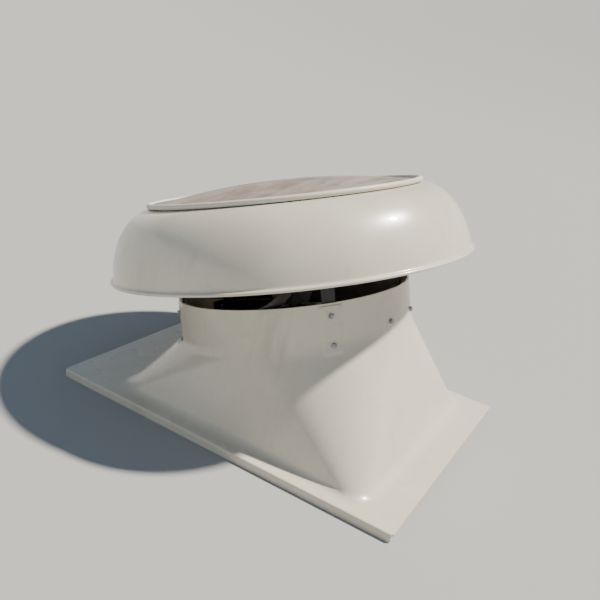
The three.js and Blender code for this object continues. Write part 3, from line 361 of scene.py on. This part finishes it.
def bent(start, knee, end, share):
    """A point along a smooth bend."""
    return start * (1 - share) ** 2 + knee * 2 * share * (1 - share) + end * share ** 2


def moulding_column(angle):
    """The moulding's outside from the rim down to the flange's edge, at one angle about the barrel."""
    first = RIM_LEVELS[-1]
    depths = list(RIM_LEVELS)
    depths += [first + (rim_height - barrel_bottom - SHOULDER - first) * step / 9 for step in range(1, 9)]
    points = [on_barrel(angle, rim_height - below) for below in depths]
    knee = on_barrel(angle, barrel_bottom)
    foot, out = on_outline(angle, flange_middle + FOOT_FORWARD, (FOOT_HALF, FOOT_HALF), FOOT_CORNER)
    slope = (foot - knee).normalized()
    shoulder_end = knee + slope * SHOULDER
    shoulder_start = on_barrel(angle, barrel_bottom + SHOULDER)
    points += [bent(shoulder_start, knee, shoulder_end, step / 9) for step in range(10)]
    fillet_start = foot - slope * FILLET
    points += [shoulder_end.lerp(fillet_start, step / 12) for step in range(1, 12)]
    points += [bent(fillet_start, foot, foot + out * FILLET, step / 7) for step in range(8)]
    points = [raise_pad(point, angle) for point in points]
    edge = on_outline(angle, flange_middle, (flange_half[0], flange_half[1] - LIP_ROUND), FLANGE_CORNER)[0]
    points += [points[-1].lerp(edge, step / 5) for step in range(1, 6)]
    return points


moulding = bmesh.new()
column_mark = moulding.verts.layers.int.new("column")
rows = [moulding_column(angle) for angle in columns]
ring = bmesh.ops.create_circle(moulding, segments=len(columns), radius=1)["verts"]
for mark, vertex in enumerate(ring):
    vertex[column_mark] = mark
    vertex.co = rows[mark][0]
edges = list(moulding.edges)
for level in range(1, len(rows[0])):
    made = bmesh.ops.extrude_edge_only(moulding, edges=edges)["geom"]
    ring = {item for item in made if isinstance(item, bmesh.types.BMVert)}
    edges = [item for item in made if isinstance(item, bmesh.types.BMEdge)
             and item.verts[0] in ring and item.verts[1] in ring]
    for vertex in ring:
        vertex.co = rows[vertex[column_mark]][level]

# Only the two long edges turn down.
TOUCH = 1e-5
long_edge = flange_half[1] - LIP_ROUND - TOUCH
edges = [edge for edge in edges if all(abs(vertex.co.y) > long_edge for vertex in edge.verts)]
lip = [(math.sin(bend) * LIP_ROUND, (1 - math.cos(bend)) * LIP_ROUND)
       for bend in (math.pi / 6, math.pi / 3, math.pi / 2)]
lip += [(LIP_ROUND, flange_top * step / 3) for step in (1, 2, 3)]
for out, down in lip:
    made = bmesh.ops.extrude_edge_only(moulding, edges=edges)["geom"]
    ring = {item for item in made if isinstance(item, bmesh.types.BMVert)}
    edges = [item for item in made if isinstance(item, bmesh.types.BMEdge)
             and item.verts[0] in ring and item.verts[1] in ring]
    for vertex in ring:
        vertex.co.y = math.copysign(long_edge + TOUCH + out, vertex.co.y)
        vertex.co.z = flange_top - down
bmesh.ops.recalc_face_normals(moulding, faces=moulding.faces)
if sum(face.normal.z for face in moulding.faces) < 0:
    bmesh.ops.reverse_faces(moulding, faces=moulding.faces)
base = add_piece(moulding, "base_moulding_shell", "root", "gelcoat", gelcoat, "base_moulding")
wall = base.modifiers.new("wall", "SOLIDIFY")
wall.thickness = SHELL
wall.offset = -1
trim = base.modifiers.new("trim", "BEVEL")
trim.width = TRIM
trim.segments = 2
trim.limit_method = "ANGLE"
trim.angle_limit = math.radians(50)
trim.harden_normals = True


# ---- Weather cap ---------------------------------------------------------------------------------
# A round glass-fibre cap, laid up in one mould: an out-turned lip, a wall that tapers in a little and a
# full round shoulder, open in the middle of its deck where the top panel covers it.
CAP_WALL = 0.005
LIP_BAND = 0.009
LIP_REACH = 0.011
WALL_START, WALL_STRAIGHT, WALL_TAPER = 0.018, 0.110, 0.005
SHOULDER_WIDTH, SHOULDER_PULL, SHOULDER_DROP = 0.136, 0.061, 0.006
HOLE_ROUND = 0.0025
SPIN_STEPS = 192


def spun(profile, steps, matrix, closed=True):
    """Turns a profile of radius and height about the axis, and takes it to its place."""
    bm = bmesh.new()
    corners = [bm.verts.new((radius, 0, height)) for radius, height in profile]
    edges = [bm.edges.new(pair) for pair in zip(corners, corners[1:])]
    if closed:
        edges.append(bm.edges.new((corners[-1], corners[0])))
    bmesh.ops.spin(bm, geom=corners + edges, cent=(0, 0, 0), axis=(0, 0, 1), angle=2 * math.pi,
                   steps=steps, use_merge=True)
    bmesh.ops.remove_doubles(bm, verts=bm.verts, dist=1e-6)
    bmesh.ops.recalc_face_normals(bm, faces=bm.faces)
    bmesh.ops.transform(bm, matrix=matrix, verts=bm.verts)
    return bm


def arc(middle, radius, start, end, steps):
    """Points of a round stretch of a profile; angles in degrees."""
    return [(middle[0] + radius * math.cos(math.radians(start + (end - start) * i / steps)),
             middle[1] + radius * math.sin(math.radians(start + (end - start) * i / steps)))
            for i in range(steps + 1)]


cap_points = barrel_points("cap_shell")
lip_height = min(point.z for point in cap_points)
deck = max(point.z for point in cap_points)
lip_radius = max(math.hypot(point.x, point.y) for point in cap_points)
hole_radius = min(math.hypot(point.x, point.y) for point in cap_points)
wall_radius = lip_radius - LIP_REACH
shoulder_radius = wall_radius - SHOULDER_WIDTH


def cap_curve(inset, steps):
    """The wall and shoulder, as one smooth curve from above the lip to the deck."""
    knots = [Vector((wall_radius - inset, lip_height + WALL_START)),
             Vector((wall_radius - inset - WALL_TAPER, lip_height + WALL_STRAIGHT)),
             Vector((wall_radius - inset - SHOULDER_PULL, deck - inset - SHOULDER_DROP)),
             Vector((shoulder_radius - inset / 2, deck - inset))]
    points = []
    for i in range(steps + 1):
        t = i / steps
        weights = ((1 - t) ** 3, 3 * t * (1 - t) ** 2, 3 * t * t * (1 - t), t ** 3)
        weighted = [knot * weight for knot, weight in zip(knots, weights)]
        points.append(tuple(sum(weighted, Vector((0, 0)))))
    return points


half_band = LIP_BAND / 2
cap_profile = [
    (wall_radius - CAP_WALL + 0.001, lip_height + 0.0015),
    (wall_radius, lip_height),
    *arc((lip_radius - half_band, lip_height + half_band), half_band, -90, 90, 10),
    (wall_radius + 0.0035, lip_height + LIP_BAND + 0.0005),
    (wall_radius + 0.0012, lip_height + LIP_BAND + 0.0025),
    (wall_radius + 0.0003, lip_height + LIP_BAND + 0.0055),
    *cap_curve(0, 44),
    *[(shoulder_radius + (hole_radius - shoulder_radius) * i / 4, deck) for i in (1, 2, 3)],
    *arc((hole_radius + HOLE_ROUND, deck - HOLE_ROUND), HOLE_ROUND, 90, 270, 6),
    *[(hole_radius + (shoulder_radius - hole_radius) * i / 4, deck - CAP_WALL) for i in (1, 2, 3)],
    *reversed(cap_curve(CAP_WALL, 30)),
]
add_piece(spun(cap_profile, SPIN_STEPS, lean), "weather_cap", "root", "gelcoat", gelcoat, "cap_shell")


# ---- Top panel -----------------------------------------------------------------------------------
# A shallow glass-fibre dome with a round bead at its edge, standing on the cap's deck. It lies open to
# the sun, so its gelcoat has gone dull, and is chalky and stained in streaks.
panel_points = barrel_points("top_panel")
panel_radius = max(math.hypot(point.x, point.y) for point in panel_points)
panel_top = max(point.z for point in panel_points)
seat_height = min(point.z for point in panel_points)
BEAD = 0.008
BEAD_CLEAR = 0.0015               # the bead hangs this far above the deck
bead_middle = (panel_radius - BEAD, deck + BEAD_CLEAR + BEAD)
dome_edge = bead_middle[0] - BEAD
dome_base = bead_middle[1] - BEAD / 2


def dome(radius, below=0):
    return dome_base + (panel_top - dome_base) * (1 - (radius / dome_edge) ** 2) - below


PANEL_SHEET = 0.004
SEAT_INSETS = (0.010, 0.016)
seat_outer, seat_inner = (dome_edge - inset for inset in SEAT_INSETS)
panel_profile = [
    (0, dome(0, PANEL_SHEET)),
    *[(dome_edge * step / 24, dome(dome_edge * step / 24, PANEL_SHEET)) for step in range(1, 23)],
    (seat_inner, dome(seat_inner, PANEL_SHEET)),
    (seat_inner, seat_height),
    (seat_outer, seat_height),
    (seat_outer, dome_base - 0.001),
    *arc(bead_middle, BEAD, -150, 160, 22),
    *[(dome_edge * step / 30, dome(dome_edge * step / 30)) for step in range(29, 0, -1)],
    (0, dome(0)),
]
weathered, shader, place = start_finish("weathered_gelcoat", Coat_Weight=0.1, Coat_Roughness=0.3)
blotches = place.noise(5.5, 6, 0.62, (1, 0.55, 1)).between(0.36, 0.66)
patches = place.noise(2.2, 4, 0.6, (1, 0.6, 1)).between(0.42, 0.62)
streaks = place.noise(22, 5, 0.65, (1, 0.16, 1)).between(0.45, 0.72)
grit = place.noise(140, 3).between(0.45, 0.7)
chalky = blotches.mix((0.40, 0.33, 0.285, 1), (0.21, 0.145, 0.115, 1))
stained = (patches * 0.6).mix(chalky, (0.43, 0.37, 0.33, 1))
worn = (streaks * 0.7).mix(stained, (0.16, 0.105, 0.08, 1))
from_axis = place.node("VectorMath", {0: place, 1: lean.translation}, operation="SUBTRACT")
across = place.node("VectorMath", {0: from_axis, 1: axis}, operation="CROSS_PRODUCT")
radius = place.node("VectorMath", {0: across}, out=1, operation="LENGTH")
# The whole bead is painted pale: a painted highlight along the panel's edge.
painted_bead_highlight = radius.between(dome_edge - 0.003, dome_edge + 0.001)
# A ring just inside the bead is painted dark: a painted shadow of the raised bead, not a groove and not a stain.
painted_shade_inside_bead = radius.between(dome_edge - 0.016, dome_edge - 0.005)
gritty = (grit * 0.25).mix(worn, (0.13, 0.10, 0.085, 1))
with_painted_bead_shade = (painted_shade_inside_bead * 0.8).mix(gritty, (0.05, 0.04, 0.035, 1))
# Base colour: the painted bead highlight over the painted shadow ring, over the real stains, grit and chalking.
drive(shader, {
    "Base Color": painted_bead_highlight.mix(with_painted_bead_shade, (0.66, 0.62, 0.54, 1)),
    "Roughness": 0.42 + blotches * 0.25 + grit * 0.1,
    "Normal": grit.bump(0.15, 0.0008, place.noise(4, 2).bump(0.3, 0.012)),
})
add_piece(spun(panel_profile, SPIN_STEPS, lean, closed=False), "top_panel_dome", "root",
          "weathered_gelcoat", weathered, "top_panel")


# ---- Uprights, ring and motor frame --------------------------------------------------------------
# Flat bars and angle section, cut, drilled and welded, then painted black. Four bars stand inside the
# barrel and carry a ring of angle under the cap, and two rails with a plate carry the motor.
black_steel, shader, place = start_finish("black_steel", Coat_Weight=0.12, Coat_Roughness=0.3)
dust = place.noise(30, 5).between(0.5, 0.8)
rust = place.noise(9, 6, 0.7).between(0.66, 0.76)
drive(shader, {
    "Base Color": (rust * 0.6).mix((dust * 0.3).mix((0.012, 0.012, 0.013, 1), (0.07, 0.065, 0.06, 1)),
                                   (0.11, 0.045, 0.02, 1)),
    "Roughness": 0.38 + dust * 0.2 + rust * 0.25,
    "Normal": place.noise(120, 3).bump(0.12, 0.0008),
})


def dressed(node, body, slot, material, edge_width, sharp_deg=50, levels=0):
    """A CAD piece's own shape, with its corners broken and its round faces smooth."""
    bm = bmesh.new()
    bm.from_mesh(frame["nodes"][node].data)
    bmesh.ops.remove_doubles(bm, verts=bm.verts, dist=1e-5)
    bmesh.ops.dissolve_limit(bm, angle_limit=math.radians(0.8), verts=bm.verts, edges=bm.edges)
    sharp = [edge for edge in bm.edges
             if len(edge.link_faces) == 2 and edge.calc_face_angle() > math.radians(sharp_deg)]
    bmesh.ops.bevel(bm, geom=sharp, offset=edge_width, offset_type="OFFSET", affect="EDGES",
                    segments=2, profile=0.5, material=-1, clamp_overlap=True)
    bmesh.ops.triangulate(bm, faces=[face for face in bm.faces if len(face.verts) > 4])
    piece = add_piece(bm, node + "_finished", body, slot, material, node)
    if levels:
        smooth = piece.modifiers.new("smooth", "SUBSURF")
        smooth.levels = smooth.render_levels = levels
    return piece


for corner in ("front", "right", "back", "left"):
    dressed(f"upright_{corner}", "root", "black_steel", black_steel, 0.0012)
dressed("cap_ring", "root", "black_steel", black_steel, 0.001)
dressed("motor_frame", "root", "black_steel", black_steel, 0.0008)


# ---- Bolts ---------------------------------------------------------------------------------------
# Zinc-plated hexagon bolts with plain washers and nuts. They go in from outside, through the moulding
# and the steel behind it, and their plating has dulled to grey.
zinc, shader, place = start_finish("zinc_steel", Metallic=0.85)
dull = place.noise(160, 4).between(0.35, 0.7)
drive(shader, {
    "Base Color": dull.mix((0.50, 0.51, 0.52, 1), (0.22, 0.22, 0.22, 1)),
    "Roughness": 0.34 + dull * 0.3,
    "Normal": place.noise(500, 2).bump(0.1, 0.0002),
})
BOLT = {"head": 0.0055, "washer": 0.0016, "nut": 0.0065, "hex": 0.0075, "disc": 0.0085, "shank": 0.004}
HUB_BOLT = {"head": 0.0065, "washer": 0.003, "nut": 0, "hex": 0.0098, "disc": 0.020, "shank": 0.005}
THREAD_PITCH = 0.00125


def add_turned(bm, radius, low, high, sides, edge):
    """A capped round or hexagonal bar along Z with broken ends."""
    middle = Matrix.Translation((0, 0, (low + high) / 2))
    made = bmesh.ops.create_cone(bm, cap_ends=True, segments=sides, radius1=radius, radius2=radius,
                                 depth=high - low, matrix=middle)["verts"]
    rims = {link for vertex in made for link in vertex.link_edges
            if abs(link.verts[0].co.z - link.verts[1].co.z) < 1e-7}
    bmesh.ops.bevel(bm, geom=list(rims), offset=edge, offset_type="OFFSET", affect="EDGES",
                    segments=2, profile=0.5, material=-1)


def fit_bolt(node, body, size, outward, tail=0.002):
    """Puts a bolt where the CAD node is: its head is at the node's end that lies furthest outward."""
    direction = (lean.to_3x3() @ outward).normalized()
    corners = [vertex.co for vertex in frame["nodes"][node].data.vertices]
    reach = [corner.dot(direction) for corner in corners]
    centre = sum(corners, Vector()) / len(corners)
    centre -= direction * centre.dot(direction)
    length = max(reach) - min(reach)
    bm = bmesh.new()
    seat = -size["head"] - size["washer"]
    add_turned(bm, size["disc"], seat, seat + size["washer"], 40, 0.0003)
    add_turned(bm, size["hex"], seat + size["washer"] - 0.0001, 0, 6, 0.0007)
    add_turned(bm, size["shank"], -length, seat, 24, 0.0004)
    if size["nut"]:
        add_turned(bm, size["hex"], -length + tail, -length + tail + size["nut"], 6, 0.0007)
        turns = int(tail / THREAD_PITCH)
        for turn in range(turns):
            low = -length + 0.0003 + turn * THREAD_PITCH
            add_turned(bm, size["shank"] * 1.02, low, low + THREAD_PITCH / 2, 24, 0.0001)
    place = direction.to_track_quat("Z", "X").to_matrix().to_4x4()
    place.translation = centre + direction * max(reach)
    bmesh.ops.transform(bm, matrix=place, verts=bm.verts)
    bmesh.ops.recalc_face_normals(bm, faces=bm.faces)
    return add_piece(bm, node + "_finished", body, "zinc_steel", zinc, node)


for node in sorted(frame["nodes"]):
    points = barrel_points(node)
    middle = sum(points, Vector()) / len(points)
    if node.startswith(("upright_bolt", "ring_bolt", "rail_bolt")):
        fit_bolt(node, "root", BOLT, Vector((middle.x, middle.y, 0)))
    elif node.startswith("cap_bolt"):
        fit_bolt(node, "root", BOLT, Vector((0, 0, 1)))
    elif node.startswith("motor_bolt"):
        fit_bolt(node, "root", {**BOLT, "disc": 0.0078}, Vector((0, 0, -1)), tail=0)
fit_bolt("hub_bolt", "impeller", HUB_BOLT, Vector((0, 0, 1)))


# ---- Motor ---------------------------------------------------------------------------------------
# A finned, flange-mounted motor that hangs under its plate: cast ends, an extruded housing, a pressed
# cowl over its own fan and a terminal box on its side, all under one coat of grey-blue enamel.
motor_paint, shader, place = start_finish("motor_paint", Coat_Weight=0.25, Coat_Roughness=0.2)
soot = place.noise(18, 5, 0.6).between(0.45, 0.75)
chips = place.noise(70, 4).between(0.7, 0.76)
drive(shader, {
    "Base Color": (chips * 0.7).mix((soot * 0.55).mix((0.055, 0.085, 0.11, 1), (0.03, 0.03, 0.03, 1)),
                                    (0.2, 0.2, 0.2, 1)),
    "Roughness": 0.36 + soot * 0.3,
    "Normal": place.noise(220, 3).bump(0.15, 0.0006),
})
for node in ("motor_drive_end", "motor_housing", "motor_rear_end", "motor_fan_cowl",
             "terminal_box", "terminal_lid"):
    dressed(node, "root", "motor_paint", motor_paint, 0.0008)

copper, shader, place = start_finish("copper_windings", Metallic=0.6)
wires = place.node("TexWave", {"Vector": place, "Scale": 90, "Distortion": 1.5}, out=1)
drive(shader, {
    "Base Color": wires.mix((0.30, 0.12, 0.045, 1), (0.44, 0.21, 0.09, 1)),
    "Roughness": 0.3 + wires * 0.2,
    "Normal": wires.bump(0.5, 0.0008),
})
dressed("motor_stator", "root", "copper_windings", copper, 0.0008)

bright_steel, shader, place = start_finish("bright_steel", Metallic=1.0)
grinding = place.noise(700, 2, 0.5, (1, 1, 0.05))
drive(shader, {
    "Base Color": grinding.mix((0.56, 0.56, 0.57, 1), (0.46, 0.46, 0.46, 1)),
    "Roughness": 0.16 + grinding * 0.22,
})
for node in ("bearing_drive_end", "bearing_rear_end"):
    dressed(node, "root", "bright_steel", bright_steel, 0.0006)
dressed("motor_shaft", "impeller", "bright_steel", bright_steel, 0.0008)

black_plastic, shader, place = start_finish("black_plastic", Specular_IOR_Level=0.4)
drive(shader, {
    "Base Color": place.noise(40, 3).mix((0.012, 0.012, 0.012, 1), (0.028, 0.028, 0.027, 1)),
    "Roughness": 0.42 + place.noise(90, 3) * 0.2,
    "Normal": place.noise(900, 2).bump(0.1, 0.0002),
})
dressed("motor_gland", "root", "black_plastic", black_plastic, 0.0006)
dressed("wall_gland", "root", "black_plastic", black_plastic, 0.0006)
dressed("motor_cooling_fan", "impeller", "black_plastic", black_plastic, 0.0004)


# ---- Motor lead ----------------------------------------------------------------------------------
# A round rubber-sheathed lead from the terminal box to the gland in the barrel's wall, held on the rail
# by two P-clips of plated strip.
rubber, shader, place = start_finish("rubber_sheath", Specular_IOR_Level=0.3)
drive(shader, {
    "Base Color": place.noise(60, 4).mix((0.01, 0.01, 0.01, 1), (0.03, 0.03, 0.03, 1)),
    "Roughness": 0.62 + place.noise(120, 3) * 0.2,
    "Normal": place.noise(400, 2).bump(0.1, 0.0003),
})
dressed("motor_lead", "root", "rubber_sheath", rubber, 0.0004, 60, levels=1)
for node in ("lead_clip_1", "lead_clip_2"):
    dressed(node, "root", "zinc_steel", zinc, 0.0002)


# ---- Impeller ------------------------------------------------------------------------------------
# A cast hub on the motor's shaft with four black plate blades, twisted and cambered, that drive the air
# up the barrel. The rotor turns with them inside the motor.
cast, shader, place = start_finish("cast_aluminium", Metallic=0.85)
sand = place.noise(240, 4)
oxide = place.noise(25, 4).between(0.4, 0.7)
drive(shader, {
    "Base Color": oxide.mix((0.42, 0.42, 0.43, 1), (0.25, 0.25, 0.25, 1)),
    "Roughness": 0.45 + oxide * 0.2,
    "Normal": sand.bump(0.3, 0.0008),
})
dressed("impeller_hub", "impeller", "cast_aluminium", cast, 0.001)
dressed("motor_rotor", "impeller", "cast_aluminium", cast, 0.0008)
for number in (1, 2, 3, 4):
    dressed(f"impeller_blade_{number}", "impeller", "black_steel", black_steel, 0.0006, 60, levels=1)
